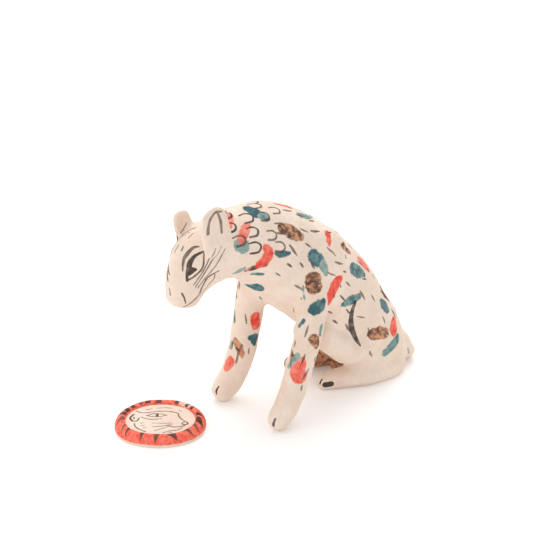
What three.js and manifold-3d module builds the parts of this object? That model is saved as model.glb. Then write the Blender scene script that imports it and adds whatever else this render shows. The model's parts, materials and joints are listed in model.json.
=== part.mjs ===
// A hand-built clay cat, seated, looking down at a small round dish that carries its reflection.
//
// The figure is built the way a potter builds it. The trunk is hollow: a rump, a chest, a neck and a
// head, each pinched out, luted end to end, with a pin hole under the belly for the steam.
// Forelegs, thighs, hind feet, tail and ears are solid clay, each one luted onto the trunk.
// The dish is a slab with a coil pressed round it. It is loose, and lies in front of the figure.
//
// Units are millimetres. +Z is up, the cat faces -Y, and its left side is +X.
// The origin is on the table, in the middle of the flat seat under the rump.
import * as THREE from "three";
import { mergeVertices } from "three/addons/utils/BufferGeometryUtils.js";
import Module from "manifold-3d";

const wasm = await Module();
wasm.setup();

// ---- driving dimensions -------------------------------------------------------------------------
const WALL = 5.5; // clay wall of the hollow trunk
const SEAM = 0.3; // luted seam between two pieces
const VENT_RADIUS = 1.6; // pin hole that lets the trunk breathe in the kiln
const VENT_PLACE = [0, -35, 33]; // where it goes up through the belly
const VENT_LENGTH = 44;

const DISH_PLACE = [-19, -142.5, 0]; // middle of the dish on the table
const DISH_TURN = 0.87; // radians from +X to the dish's long axis
const DISH_OVAL = 0.91; // its short axis over its long one
const RIM_RADIUS = 27.6; // outside of the coil, along the long axis
const RIM_WIDTH = 7.2;
const RIM_HEIGHT = 7;
const SLAB_HEIGHT = 5;

const SHELL_FACETS = 24; // facets round the trunk
const LIMB_FACETS = 14; // facets round a limb
const CAP_RINGS = 4; // rings in the rounded end of a lump
const DISH_FACETS = 40;
const BLOCK = 400; // cutting block, larger than the whole figure
const ACROSS = new THREE.Vector3(1, 0, 0); // a lump's width lies along X
const TAIL_SIDE = new THREE.Vector3(0.4, -0.6, -0.7); // but the tail's spine runs along X in places

const CLAY = { color: 0xe6d2c1, roughness: 0.92, metalness: 0 };
const CORAL = { color: 0xe2604c, roughness: 0.88, metalness: 0 };

// Stations along each lump of clay: [x, y, z, half width, half depth].
const TRUNK = [
  [2, 8, -5, 21, 23],
  [2, 7, 5, 22, 25],
  [2, 4, 17, 23, 26],
  [1, -6, 34, 24, 26.5],
  [0, -20, 53, 25, 27.5],
  [0, -35, 70, 25.5, 28],
  [0, -52, 85, 25.5, 28.5],
  [0, -68, 98, 24.5, 28],
  [0, -84, 107.5, 22, 25.5],
  [0, -99, 112, 19.5, 21],
  [-1, -114, 111.5, 17.5, 19],
  [-3, -124, 105, 15.5, 18],
  [-4.5, -130, 96, 12.5, 14.5],
  [-5.5, -133.5, 88.5, 9.8, 11],
  [-6, -136, 81.5, 7.5, 8.5],
];
const LEFT_FORELEG = [
  [9, -42, 110, 9, 13],
  [17, -46, 98, 9, 14],
  [21, -53, 84, 9, 12.5],
  [23, -59, 68, 8.6, 9.5],
  [25, -65, 51, 8, 8.4],
  [26.5, -72, 35, 8, 8],
  [27.5, -80, 20, 8, 8],
  [28, -89.5, 8, 7.4, 7.4],
  [28.5, -97, 3, 5, 5],
];
const RIGHT_FORELEG = [
  [-8, -52, 110, 8, 12],
  [-14, -60, 96, 8.5, 13],
  [-17, -68, 80, 9, 12.5],
  [-18, -73, 62, 8.8, 9.6],
  [-19, -76, 47, 8.6, 8.8],
  [-20, -80, 31, 8.6, 8.6],
  [-21, -86, 16, 8.5, 8.5],
  [-22, -95, 6.5, 7.4, 7],
  [-22.5, -100.5, 3, 5, 5],
];
const LEFT_HAUNCH = [
  [12, 0, 54, 10, 13],
  [15, -3, 38, 13, 18],
  [15, -3, 22, 13.5, 20],
  [13, 2, 6, 10, 16],
];
const RIGHT_HAUNCH = [
  [-11, 0, 54, 10, 13],
  [-13, -3, 38, 13, 18],
  [-13, -3, 22, 13.5, 20],
  [-12, 2, 6, 10, 16],
];
const LEFT_HIND_FOOT = [
  [11, 20, 7, 9, 8],
  [14.5, 7, 7, 9, 8],
  [14, -8, 6.5, 8.5, 7.5],
  [10, -22, 6, 7.5, 6.5],
  [6, -32, 4.5, 6.5, 5.5],
  [3.5, -39, 3, 5.5, 5],
];
const RIGHT_HIND_FOOT = [
  [-11, 20, 7, 9, 8],
  [-15, 7, 7, 9, 8],
  [-18, -8, 6.5, 8.5, 7.5],
  [-21, -22, 6, 7.5, 6.5],
  [-24, -33, 4.5, 6.5, 5.5],
  [-26, -40, 3, 5.5, 5],
];
const TAIL = [
  [10, 20, 24, 5, 5],
  [13.5, 27, 17, 5.2, 5.2],
  [13, 32, 8, 5.4, 5.4],
  [4, 37, 5, 5.4, 5.4],
  [-12, 35, 4.5, 5.2, 5.2],
  [-26, 25, 4.5, 5, 5],
  [-34, 9, 4.2, 4.4, 4.4],
  [-37, -6, 3.6, 3.6, 3.6],
];
const LEFT_EAR = [
  [12, -119, 117, 3, 6.5],
  [14, -122, 125, 2.7, 7],
  [15, -125, 134, 2.3, 6.2],
  [15, -127, 142.5, 1.9, 4.6],
];
const RIGHT_EAR = [
  [-12, -119, 113, 3, 5.5],
  [-13.5, -122, 121, 2.7, 5.8],
  [-14, -125, 128, 2.3, 5.2],
  [-14, -127, 135.5, 1.9, 4],
];

// Where the trunk's shells meet, as a share of the way from rump to nose, by the spine's parameter.
const SEAM_RUMP_CHEST = 0.4;
const SEAM_CHEST_NECK = 0.57;
const SEAM_NECK_HEAD = 0.68;

// ---- shaping ------------------------------------------------------------------------------------

// Rings from end to end of a lump: how far along it each lies, and how much of the girth it has.
function ringsOf(length, startCap, endCap, middleRings) {
  const rings = [];
  for (let i = 0; i <= CAP_RINGS; i++) {
    const phi = ((i / CAP_RINGS) * Math.PI) / 2;
    rings.push([startCap * (1 - Math.cos(phi)), Math.sin(phi)]);
  }
  const straight = length - startCap - endCap;
  for (let i = 1; i < middleRings; i++) rings.push([startCap + (straight * i) / middleRings, 1]);
  for (let i = CAP_RINGS; i >= 0; i--) {
    const phi = ((i / CAP_RINGS) * Math.PI) / 2;
    rings.push([length - endCap * (1 - Math.cos(phi)), Math.sin(phi)]);
  }
  return rings;
}

function spineOf(stations) {
  return new THREE.CatmullRomCurve3(stations.map(([x, y, z]) => new THREE.Vector3(x, y, z)));
}

// A lump of clay round a smooth spine: a sphere whose rings are carried along the spine, with the
// half width towards `side` and the half depth across it. `grow` thickens it all over.
function lump(stations, options = {}) {
  const { facets = LIMB_FACETS, middleRings = 9, startCap, endCap, grow = 0, side = ACROSS } = options;
  const spine = spineOf(stations);
  const girth = new THREE.SplineCurve(stations.map(([, , , width, depth]) => new THREE.Vector2(width, depth)));
  const length = spine.getLength();
  const rings = ringsOf(length, startCap ?? stations[0][4], endCap ?? stations.at(-1)[4], middleRings);
  const lastRing = rings.length - 1;
  const skin = new THREE.SphereGeometry(1, facets, lastRing);
  const at = skin.attributes.position;
  for (let ring = 0; ring <= lastRing; ring++) {
    const [distance, swell] = rings[ring];
    const tip = ring === 0 || ring === lastRing;
    const t = spine.getUtoTmapping(distance / length);
    const along = spine.getTangent(t);
    const wide = side.clone().addScaledVector(along, -along.dot(side)).normalize();
    const deep = new THREE.Vector3().crossVectors(along, wide);
    const size = girth.getPoint(t);
    const halfWidth = tip ? 0 : size.x * swell + grow;
    const halfDepth = tip ? 0 : size.y * swell + grow;
    const centre = spine.getPoint(t);
    if (tip) centre.addScaledVector(along, ring === 0 ? -grow : grow);
    for (let facet = 0; facet <= facets; facet++) {
      const angle = (2 * Math.PI * facet) / facets;
      const p = centre.clone();
      p.addScaledVector(wide, Math.cos(angle) * halfWidth);
      p.addScaledVector(deep, Math.sin(angle) * halfDepth);
      at.setXYZ(ring * (facets + 1) + facet, p.x, p.y, p.z);
    }
  }
  return solid(skin);
}

// A closed three.js geometry as a manifold-3d solid, turned the right way out where it faces in.
function solid(geometry) {
  const bare = geometry.clone();
  bare.deleteAttribute("normal");
  bare.deleteAttribute("uv");
  const merged = mergeVertices(bare, 1e-4);
  const vertProperties = new Float32Array(merged.attributes.position.array);
  const triVerts = new Uint32Array(merged.index.array);
  const made = new wasm.Manifold(new wasm.Mesh({ numProp: 3, vertProperties, triVerts }));
  if (made.volume() > 0) return made;
  return new wasm.Manifold(new wasm.Mesh({ numProp: 3, vertProperties, triVerts: triVerts.reverse() }));
}

// Everything on the side of a plane that its normal points to, from `offset` beyond the plane.
function halfSpace(point, normal, offset = 0) {
  const block = new THREE.BoxGeometry(BLOCK, BLOCK, BLOCK);
  block.applyQuaternion(new THREE.Quaternion().setFromUnitVectors(new THREE.Vector3(0, 0, 1), normal));
  const centre = point.clone().addScaledVector(normal, BLOCK / 2 + offset);
  block.translate(centre.x, centre.y, centre.z);
  return solid(block);
}

const aboveTable = halfSpace(new THREE.Vector3(), new THREE.Vector3(0, 0, 1));

// Clay that was set down soft, so that it is flat where it meets the table.
function standing(shape) {
  return shape.intersect(aboveTable);
}

// The largest piece of a shape, once the crumbs that a cut leaves are cleaned off.
function cleaned(shape) {
  return shape.decompose().reduce((largest, next) => (next.volume() > largest.volume() ? next : largest));
}

// A lump luted onto its neighbours: what it shares with them is cut away, with the seam's width.
function luted(stations, neighbours, options) {
  return cleaned(neighbours.reduce((shape, other) => shape.subtract(other), standing(lump(stations, options))));
}

function seamRoom(stations) {
  return standing(lump(stations, { grow: SEAM }));
}

// ---- the figure ---------------------------------------------------------------------------------
const figure = new THREE.Group();

function addPiece(name, shape, finish) {
  const { numProp, vertProperties, triVerts } = shape.getMesh();
  const count = vertProperties.length / numProp;
  const places = new Float32Array(count * 3);
  for (let i = 0; i < count; i++) {
    places.set(vertProperties.subarray(i * numProp, i * numProp + 3), i * 3);
  }
  const geometry = new THREE.BufferGeometry();
  geometry.setAttribute("position", new THREE.BufferAttribute(places, 3));
  geometry.setIndex(new THREE.BufferAttribute(new Uint32Array(triVerts), 1));
  geometry.computeVertexNormals();
  const mesh = new THREE.Mesh(geometry, new THREE.MeshStandardMaterial(finish));
  mesh.name = name;
  figure.add(mesh);
}

const trunkShape = { facets: SHELL_FACETS, middleRings: 24, startCap: 6, endCap: 7 };
const trunkRoom = standing(lump(TRUNK, { ...trunkShape, grow: SEAM }));

// The hollow trunk: one skin less one hollow, vented, and parted by planes across its spine.
function buildTrunk() {
  const skin = standing(lump(TRUNK, trunkShape));
  const inner = TRUNK.slice(1, -2).map(([x, y, z, width, depth]) => [x, y, z, width - WALL, depth - WALL]);
  const hollow = lump(inner, { ...trunkShape, middleRings: 18 });
  const pin = new THREE.CylinderGeometry(VENT_RADIUS, VENT_RADIUS, VENT_LENGTH, 16);
  pin.rotateX(Math.PI / 2);
  pin.translate(...VENT_PLACE);
  const trunk = skin.subtract(hollow).subtract(solid(pin));
  const spine = spineOf(TRUNK);
  const names = ["rump_shell", "chest_shell", "neck_sleeve", "head_shell"];
  const seams = [SEAM_RUMP_CHEST, SEAM_CHEST_NECK, SEAM_NECK_HEAD];
  names.forEach((name, i) => {
    const beyond = (seam, offset) => halfSpace(spine.getPoint(seam), spine.getTangent(seam), offset);
    let shell = trunk;
    if (i > 0) shell = shell.intersect(beyond(seams[i - 1], SEAM / 2));
    if (i < seams.length) shell = shell.subtract(beyond(seams[i], -SEAM / 2));
    addPiece(name, cleaned(shell), CLAY);
  });
}

function buildForelegs() {
  addPiece("left_foreleg", luted(LEFT_FORELEG, [trunkRoom]), CLAY);
  addPiece("right_foreleg", luted(RIGHT_FORELEG, [trunkRoom]), CLAY);
}

function buildHaunches() {
  addPiece("left_haunch", luted(LEFT_HAUNCH, [trunkRoom]), CLAY);
  addPiece("right_haunch", luted(RIGHT_HAUNCH, [trunkRoom]), CLAY);
}

function buildHindFeet() {
  addPiece("left_hind_foot", luted(LEFT_HIND_FOOT, [trunkRoom, seamRoom(LEFT_HAUNCH)]), CLAY);
  addPiece("right_hind_foot", luted(RIGHT_HIND_FOOT, [trunkRoom, seamRoom(RIGHT_HAUNCH)]), CLAY);
}

function buildTail() {
  const neighbours = [LEFT_HAUNCH, RIGHT_HAUNCH, LEFT_HIND_FOOT, RIGHT_HIND_FOOT].map(seamRoom);
  addPiece("tail", luted(TAIL, [trunkRoom, ...neighbours], { side: TAIL_SIDE }), CLAY);
}

function buildEars() {
  addPiece("left_ear", luted(LEFT_EAR, [trunkRoom]), CLAY);
  addPiece("right_ear", luted(RIGHT_EAR, [trunkRoom]), CLAY);
}

// The dish: a round slab and the coil pressed round its edge, both a little oval.
function buildDish() {
  const place = (geometry) => {
    geometry.rotateX(Math.PI / 2);
    geometry.scale(1, DISH_OVAL, 1);
    geometry.rotateZ(DISH_TURN);
    geometry.translate(...DISH_PLACE);
    return solid(geometry);
  };
  const inside = RIM_RADIUS - RIM_WIDTH;
  const slab = new THREE.CylinderGeometry(inside - SEAM, inside - SEAM, SLAB_HEIGHT, DISH_FACETS);
  slab.translate(0, SLAB_HEIGHT / 2, 0);
  const section = [new THREE.Vector2(inside, 0), new THREE.Vector2(RIM_RADIUS - 1.2, 0)];
  const steps = 9;
  for (let i = 0; i <= steps; i++) {
    const angle = THREE.MathUtils.lerp(-0.35, Math.PI - 0.45, i / steps);
    const out = (RIM_WIDTH / 2) * Math.cos(angle);
    const up = (RIM_HEIGHT / 2) * Math.sin(angle);
    section.push(new THREE.Vector2(RIM_RADIUS - RIM_WIDTH / 2 + out, RIM_HEIGHT / 2 + up));
  }
  section.push(section[0].clone());
  const rim = new THREE.LatheGeometry(section, DISH_FACETS);
  addPiece("dish_slab", place(slab), CLAY);
  addPiece("dish_rim", place(rim), CORAL);
}

buildTrunk();
buildForelegs();
buildHaunches();
buildHindFeet();
buildTail();
buildEars();
buildDish();

export default figure;
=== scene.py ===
import json
import math

import bpy
import numpy as np
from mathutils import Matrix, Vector
from mathutils.bvhtree import BVHTree


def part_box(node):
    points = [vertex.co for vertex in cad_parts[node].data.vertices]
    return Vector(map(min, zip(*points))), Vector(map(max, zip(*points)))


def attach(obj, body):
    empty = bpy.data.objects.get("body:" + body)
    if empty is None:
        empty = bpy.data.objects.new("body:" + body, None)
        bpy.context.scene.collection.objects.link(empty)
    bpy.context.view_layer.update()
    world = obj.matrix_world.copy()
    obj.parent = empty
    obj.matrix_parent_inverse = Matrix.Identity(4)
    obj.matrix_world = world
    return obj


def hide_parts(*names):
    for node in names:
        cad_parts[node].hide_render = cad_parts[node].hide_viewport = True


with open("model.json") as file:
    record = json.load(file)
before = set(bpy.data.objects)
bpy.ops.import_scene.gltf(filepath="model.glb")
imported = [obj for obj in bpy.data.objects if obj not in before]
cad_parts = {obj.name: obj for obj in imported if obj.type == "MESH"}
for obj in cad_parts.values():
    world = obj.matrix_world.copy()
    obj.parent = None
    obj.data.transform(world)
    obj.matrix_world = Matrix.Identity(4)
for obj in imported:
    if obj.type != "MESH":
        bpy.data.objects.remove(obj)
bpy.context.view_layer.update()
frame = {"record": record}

# ---- trunk ----------------------------------------------------------------------------------------
# The cat's body and head are pinched hollow clay: rump, chest, neck and head, luted end to end. Each
# station on the spine is x, y, z, half width and half depth, in mm from the middle of the flat seat.
MM = 0.001
seat = np.array(frame["record"]["mounts"][0]["pos_m"]) / MM

trunk_stations = [
    (2, 8, -5, 22.5, 23),
    (2, 7, 5, 23.5, 25),
    (2, 4, 17, 23, 26),
    (1, -6, 34, 24, 26.5),
    (0, -19.4, 53.5, 25, 28.3),
    (0, -34.4, 70.6, 25.5, 28.9),
    (0, -51.8, 85.2, 25.5, 29),
    (0, -67.6, 98.5, 24.5, 27.9),
    (0, -84, 108, 22, 25.1),
    (0, -99, 112.3, 19.5, 21.2),
    (-1, -114.3, 111.8, 17.5, 18.6),
    (-3, -124.6, 105.5, 15.5, 17.4),
    (-4.5, -130.6, 96.6, 12.3, 13.7),
    (-5.2, -133.3, 88.3, 9.6, 10.7),
    (-5.4, -135.3, 80.4, 7.3, 8.3),
]


def smooth_row(stations, steps):
    """A smooth row of steps, evenly spaced, through given stations, and its length."""
    knots = np.array(stations, float)
    gaps = np.sqrt(np.linalg.norm(np.diff(knots[:, :3], axis=0), axis=1))
    when = np.concatenate([[0], np.cumsum(gaps)])
    fine = np.linspace(0, when[-1], steps * 4)
    ends = np.vstack([2 * knots[0] - knots[1], knots, 2 * knots[-1] - knots[-2]])
    times = np.concatenate([[-gaps[0]], when, [when[-1] + gaps[-1]]])
    i = np.clip(np.searchsorted(when, fine, side="right"), 1, len(when) - 1)
    t0, t1, t2, t3 = (times[i + k - 1][:, None] for k in range(4))
    p0, p1, p2, p3 = (ends[i + k - 1] for k in range(4))
    t = fine[:, None]
    a1 = (t1 - t) / (t1 - t0) * p0 + (t - t0) / (t1 - t0) * p1
    a2 = (t2 - t) / (t2 - t1) * p1 + (t - t1) / (t2 - t1) * p2
    a3 = (t3 - t) / (t3 - t2) * p2 + (t - t2) / (t3 - t2) * p3
    b1 = (t2 - t) / (t2 - t0) * a1 + (t - t0) / (t2 - t0) * a2
    b2 = (t3 - t) / (t3 - t1) * a2 + (t - t1) / (t3 - t1) * a3
    row = (t2 - t) / (t2 - t1) * b1 + (t - t1) / (t2 - t1) * b2
    run = np.concatenate([[0], np.cumsum(np.linalg.norm(np.diff(row[:, :3], axis=0), axis=1))])
    even = np.linspace(0, run[-1], steps)
    row = np.stack([np.interp(even, run, row[:, k]) for k in range(row.shape[1])], axis=1)
    return row, run[-1]


def lump_depth(points, row, length, caps, side):
    """How far each point lies outside a lump of clay, in mm, or inside it where it is negative."""
    step = length / (len(row) - 1)
    keep = np.arange(len(row)) * step
    core = row[(keep >= caps[0] - 1e-6) & (keep <= length - caps[1] + 1e-6)]
    centre = core[:, :3]
    along = np.gradient(centre, axis=0)
    along /= np.linalg.norm(along, axis=1)[:, None]
    wide = np.array(side, float) - (along @ np.array(side, float))[:, None] * along
    wide /= np.linalg.norm(wide, axis=1)[:, None]
    deep = np.cross(along, wide)
    out = np.empty(len(points), np.float32)
    square = (centre**2).sum(1)
    batch = 200_000
    for start in range(0, len(points), batch):
        p = points[start : start + batch]
        near = np.argmin(square - 2 * p @ centre.T.astype(np.float32), axis=1)
        ahead = ((p - centre[near]) * along[near]).sum(1) / step
        spot = np.clip(near + ahead, 0, len(core) - 1)
        low = np.minimum(spot.astype(int), len(core) - 2)
        share = (spot - low)[:, None]
        centre_at, wide_at, deep_at, along_at, size_at = (
            a[low] * (1 - share) + a[low + 1] * share for a in (centre, wide, deep, along, core[:, 3:5])
        )
        from_spine = p - centre_at
        u = (from_spine * wide_at).sum(1) / size_at[:, 0]
        v = (from_spine * deep_at).sum(1) / size_at[:, 1]
        first, last = spot <= 0, spot >= len(core) - 1
        cap = np.where(first, caps[0], caps[1])
        w = np.where(first | last, (from_spine * along_at).sum(1) / cap, 0)
        q = np.sqrt(u * u + v * v + w * w) + 1e-6
        slope = np.sqrt((u / size_at[:, 0]) ** 2 + (v / size_at[:, 1]) ** 2 + (w / cap) ** 2)
        out[start : start + batch] = (q - 1) * q / (slope + 1e-4)
    return out


pitch = 0.8
figure_nodes = frame["record"]["behaviour"]["bodies"]["figure"]
figure_low = np.min([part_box(n)[0] for n in figure_nodes], axis=0) / MM
figure_high = np.max([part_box(n)[1] for n in figure_nodes], axis=0) / MM
grid_low = np.floor(figure_low / pitch - 6) * pitch
grid_low[2] = -3.5 * pitch
grid_size = np.ceil((figure_high - grid_low) / pitch + 6).astype(int)
grid_axes = [grid_low[k] + pitch * np.arange(grid_size[k]) for k in range(3)]
FAR = 9.0
clay = {}


def grid_part(low_corner, high_corner):
    """The slices of the grid between two corners in mm, and its points there."""
    low = np.clip(((np.array(low_corner) - grid_low) / pitch).astype(int), 0, grid_size)
    high = np.clip(((np.array(high_corner) - grid_low) / pitch).astype(int) + 1, 0, grid_size)
    spans = tuple(slice(low[k], high[k]) for k in range(3))
    mesh = np.meshgrid(*[grid_axes[k][spans[k]] for k in range(3)], indexing="ij")
    return spans, np.stack([m.ravel() for m in mesh], axis=1).astype(np.float32), mesh[0].shape


def roll_out(name, stations, caps, side=(1, 0, 0)):
    """Keeps a lump's depth over the block of space round the cat, worked out only near the lump."""
    knots = np.array(stations, float)
    knots[:, :3] += seat
    row, length = smooth_row(knots, 96)
    reach = row[:, 3:5].max() + FAR
    spans, points, shape = grid_part(row[:, :3].min(0) - reach, row[:, :3].max(0) + reach)
    depth = np.full(grid_size, FAR, np.float32)
    near = lump_depth(points, row, length, caps, side)
    depth[spans] = np.minimum(near, FAR).reshape(shape)
    clay[name] = depth


roll_out("trunk", trunk_stations, (6, 7))

# The underside is scooped out between the thighs.
belly_scoop = [
    (0, -50, 44, 8, 3),
    (0, -42.6, 34.8, 12, 8),
    (0, -33, 22, 13, 10),
    (0, -25.5, 13, 13, 10),
    (0, -21, 4, 13, 9),
    (0, -20, -6, 12, 8),
]
roll_out("scoop", belly_scoop, (4, 4))
clay["trunk"] = np.maximum(clay["trunk"], -clay.pop("scoop"))

# ---- haunches -------------------------------------------------------------------------------------
# A pad of solid clay over each thigh, pressed on and wiped into the rump.
thigh = [(13, 0, 54, 10, 13), (14, -3, 38, 13, 18), (14, -3, 22, 13.5, 20), (12.5, 2, 6, 10, 16)]
knee = [
    (15, -6, 30, 9, 12),
    (16.5, -26, 27, 9, 8.5),
    (17, -36, 34.8, 8.6, 8.4),
    (17, -45, 42, 8, 7.5),
    (16, -52, 51, 7, 6),
]
# The right haunch leans in a little, and only the first three stations of its knee are there.
for side_name, sign, lean, bent in (("left", 1, 1, 5), ("right", -1, 0.95, 3)):
    roll_out(side_name + "_haunch", [(sign * lean * x, *rest) for x, *rest in thigh], (13, 14))
    roll_out("knee", [(sign * lean * x, *rest) for x, *rest in knee[:bent]], (9, 7))
    clay[side_name + "_haunch"] = np.minimum(clay[side_name + "_haunch"], clay.pop("knee"))

# ---- forelegs -------------------------------------------------------------------------------------
# Two rolled coils of solid clay, flattened up into the shoulders, each bent a little its own way.
left_foreleg = [
    (9, -42, 110, 9, 13),
    (17, -46, 98, 9, 14),
    (21, -53, 84, 9, 12.5),
    (23, -60, 68, 8.6, 9.5),
    (25, -66.2, 51, 8, 8.4),
    (26.5, -73, 35, 8, 8),
    (27.5, -80, 20, 7.8, 7.8),
    (28, -89, 8, 7, 7),
    (28.5, -96, 3, 5, 5),
]
right_foreleg = [
    (-8, -53, 110, 8, 12),
    (-14, -61.5, 96, 8.5, 13),
    (-17, -69.5, 80, 9, 12.2),
    (-18, -74.3, 62, 8.8, 9.4),
    (-19, -76.5, 47, 8.8, 8.8),
    (-20, -79.5, 31, 8.6, 8.6),
    (-21, -85, 16, 8.3, 8.3),
    (-22, -93.5, 6.5, 7.2, 7),
    (-22.5, -98.5, 3, 5, 5),
]
roll_out("left_foreleg", left_foreleg, (12, 5))
roll_out("right_foreleg", right_foreleg, (12, 5))

# ---- hind feet ------------------------------------------------------------------------------------
# Solid feet that lie forward from under the rump, flat where they rest on the table.
left_foot = [
    (12, 20, 7, 9, 8),
    (17.5, 7, 7, 9.5, 8),
    (17.5, -8, 6.5, 9, 7.5),
    (12.5, -22, 6, 8, 6.5),
    (7.5, -32, 4.5, 6.5, 5.5),
    (4.5, -39.5, 3, 5.5, 5),
]
right_foot = [
    (-11, 20, 7, 9, 8),
    (-15, 7, 7, 9, 8),
    (-18, -8, 6.5, 8.5, 7.5),
    (-21, -22, 6, 7.5, 6.5),
    (-24, -33, 4.5, 6.5, 5.5),
    (-26, -40, 3, 5.5, 5),
]
roll_out("left_hind_foot", left_foot, (8, 5))
roll_out("right_hind_foot", right_foot, (8, 5))

# ---- tail -----------------------------------------------------------------------------------------
# A rolled coil that drops from the rump and lies round behind the right foot.
tail = [
    (10, 20, 24, 5, 5),
    (13, 26, 16.5, 5.2, 5.2),
    (12.5, 30.5, 8, 5.4, 5.4),
    (4, 37, 5, 5.4, 5.4),
    (-12, 35, 4.5, 5.2, 5.2),
    (-26, 25, 4.5, 5, 5),
    (-34, 9, 4.2, 4.4, 4.4),
    (-37, -6, 3.6, 3.6, 3.6),
]
roll_out("tail", tail, (5, 4), side=(0.4, -0.6, -0.7))

# ---- ears -----------------------------------------------------------------------------------------
# Two leaves of clay flattened between finger and thumb, luted on, with a shallow hollow pressed in.
left_ear = [
    (12, -120, 117, 3, 9.5),
    (14.5, -124, 125, 2.9, 10.4),
    (15.5, -126, 134.5, 2.5, 9.6),
    (15.5, -127, 145, 1.9, 6.6),
]
right_ear = [
    (-12, -121.5, 113, 3, 7),
    (-13.5, -124.5, 121, 2.9, 6.6),
    (-14, -126.5, 128, 2.4, 6),
    (-14, -127.5, 135, 1.9, 4.8),
]
roll_out("left_ear", left_ear, (4, 5))
roll_out("right_ear", right_ear, (4, 5))


# ---- luting and finger work -----------------------------------------------------------------------
# The lumps are scored, slipped and wiped together, each join with its own width of fillet in mm.
# Then fingers press the eye sockets, cheeks, ear hollows and flanks in, and swell the muzzle out.
def wipe_on(body, limb, width):
    """The depth of two lumps joined, with a fillet of the given width in mm wiped along the join."""
    overlap = np.maximum(width - np.abs(body - limb), 0) / width
    return np.minimum(body, limb) - overlap * overlap * width / 4


fillets = {
    "left_haunch": 6,
    "right_haunch": 6,
    "left_foreleg": 7,
    "right_foreleg": 7,
    "left_ear": 1.6,
    "right_ear": 2.4,
    "left_hind_foot": 2.5,
    "right_hind_foot": 2.5,
    "tail": 2,
}
whole = clay["trunk"]
for name, width in fillets.items():
    whole = wipe_on(whole, clay[name], width)

# x, y, z and radius of each finger mark, and how deep it goes (negative where it swells out).
finger_marks = [
    (9, -135, 109, 5, 0.8),
    (-11, -138, 107, 5, 0.7),
    (4, -139, 114, 4, -0.4),
    (14, -124, 98, 6, 0.6),
    (6, -137, 94, 4, -0.5),
    (-5, -144, 99, 5, -0.3),
    (20.5, -125, 132, 6, 3),
    (-11, -127, 127, 4, 0.8),
    (19, -106, 103, 9, 0.8),
    (22, -88, 90, 8, 0.9),
    (29, -50, 96, 8, -0.7),
    (24, -34, 74, 9, 1.1),
    (28, -10, 34, 11, -0.6),
    (24, -30, 46, 8, 0.7),
    (26, 6, 14, 7, 0.9),
    (32, -76, 34, 5, 0.5),
    (32, -66, 52, 5, -0.3),
    (-13, -78, 46, 5, 0.5),
    (3, -60, 118, 12, 0.5),
    (-24, -20, 60, 12, 0.8),
    (6, -79, 70, 9, 1.6),
    (18, -112.5, 124, 3.5, 1.4),
    (17.5, -113.5, 131, 3.5, 1.2),
    (13, -136, 124, 4, 0.8),
    (13, -21, 15, 3, 1.4),
    (17, -17.5, 14.5, 3, 1.6),
    (21, -14, 14, 3, 1.6),
    (24.5, -10, 13.5, 3, 1.2),
]
finger_reach = 2.5
for x, y, z, radius, depth in finger_marks:
    middle = np.array((x, y, z)) + seat
    spans, points, shape = grid_part(middle - finger_reach * radius, middle + finger_reach * radius)
    gap = ((points - middle) ** 2).sum(1) / radius**2
    whole[spans] += (depth * np.exp(-gap)).reshape(shape)

for axis in range(3):
    shifted = np.moveaxis(whole, axis, 0)
    shifted[1:-1] = 0.25 * shifted[:-2] + 0.5 * shifted[1:-1] + 0.25 * shifted[2:]
heights = grid_axes[2].astype(np.float32)
whole = np.maximum(whole, seat[2] - heights[None, None, :])


def skin(depth):
    """The surface where a depth turns from inside to outside, as places in mm and four-cornered faces."""
    inside = depth < 0
    corner = [(i, j, k) for i in (0, 1) for j in (0, 1) for k in (0, 1)]
    shape = [n - 1 for n in depth.shape]
    count = np.zeros(shape, np.int8)
    for i, j, k in corner:
        count += inside[i : i + shape[0], j : j + shape[1], k : k + shape[2]]
    cells = np.argwhere((count > 0) & (count < 8))
    values = np.stack([depth[tuple((cells + c).T)] for c in corner], axis=1)
    total = np.zeros((len(cells), 3))
    crossings = np.zeros(len(cells))
    for a in range(8):
        for b in range(a + 1, 8):
            ca, cb = np.array(corner[a]), np.array(corner[b])
            if np.abs(ca - cb).sum() != 1:
                continue
            va, vb = values[:, a], values[:, b]
            cross = (va < 0) != (vb < 0)
            share = np.where(cross, va / np.where(cross, va - vb, 1), 0)[:, None]
            total += np.where(cross[:, None], ca + (cb - ca) * share, 0)
            crossings += cross
    places = (cells + total / crossings[:, None]) * pitch + grid_low
    number = np.full(shape, -1, np.int64)
    number[tuple(cells.T)] = np.arange(len(cells))
    faces = []
    for axis in range(3):
        u, v = (axis + 1) % 3, (axis + 2) % 3
        first = [slice(None)] * 3
        second = [slice(None)] * 3
        first[axis], second[axis] = slice(0, -1), slice(1, None)
        a, b = inside[tuple(first)], inside[tuple(second)]
        for flip, edges in ((False, np.argwhere(a & ~b)), (True, np.argwhere(~a & b))):
            ok = (edges[:, u] > 0) & (edges[:, v] > 0) & (edges[:, u] < shape[u]) & (edges[:, v] < shape[v])
            edges = edges[ok]
            ring = []
            for du, dv in ((-1, -1), (0, -1), (0, 0), (-1, 0)):
                cell = edges.copy()
                cell[:, u] += du
                cell[:, v] += dv
                ring.append(number[tuple(cell.T)])
            quad = np.stack(ring, axis=1)
            faces.append(quad[:, ::-1] if flip else quad)
    return places, np.concatenate(faces)


def clay_mesh(name, places, faces):
    """A Blender object from places in mm and faces that all have as many corners."""
    corners = faces.shape[1]
    mesh = bpy.data.meshes.new(name)
    mesh.vertices.add(len(places))
    mesh.vertices.foreach_set("co", (places * MM).astype(np.float32).ravel())
    mesh.loops.add(faces.size)
    mesh.loops.foreach_set("vertex_index", faces.astype(np.int32).ravel())
    mesh.polygons.add(len(faces))
    mesh.polygons.foreach_set("loop_start", np.arange(0, faces.size, corners, dtype=np.int32))
    mesh.update(calc_edges=True)
    mesh.validate()
    piece = bpy.data.objects.new(name, mesh)
    bpy.context.scene.collection.objects.link(piece)
    return piece


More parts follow.
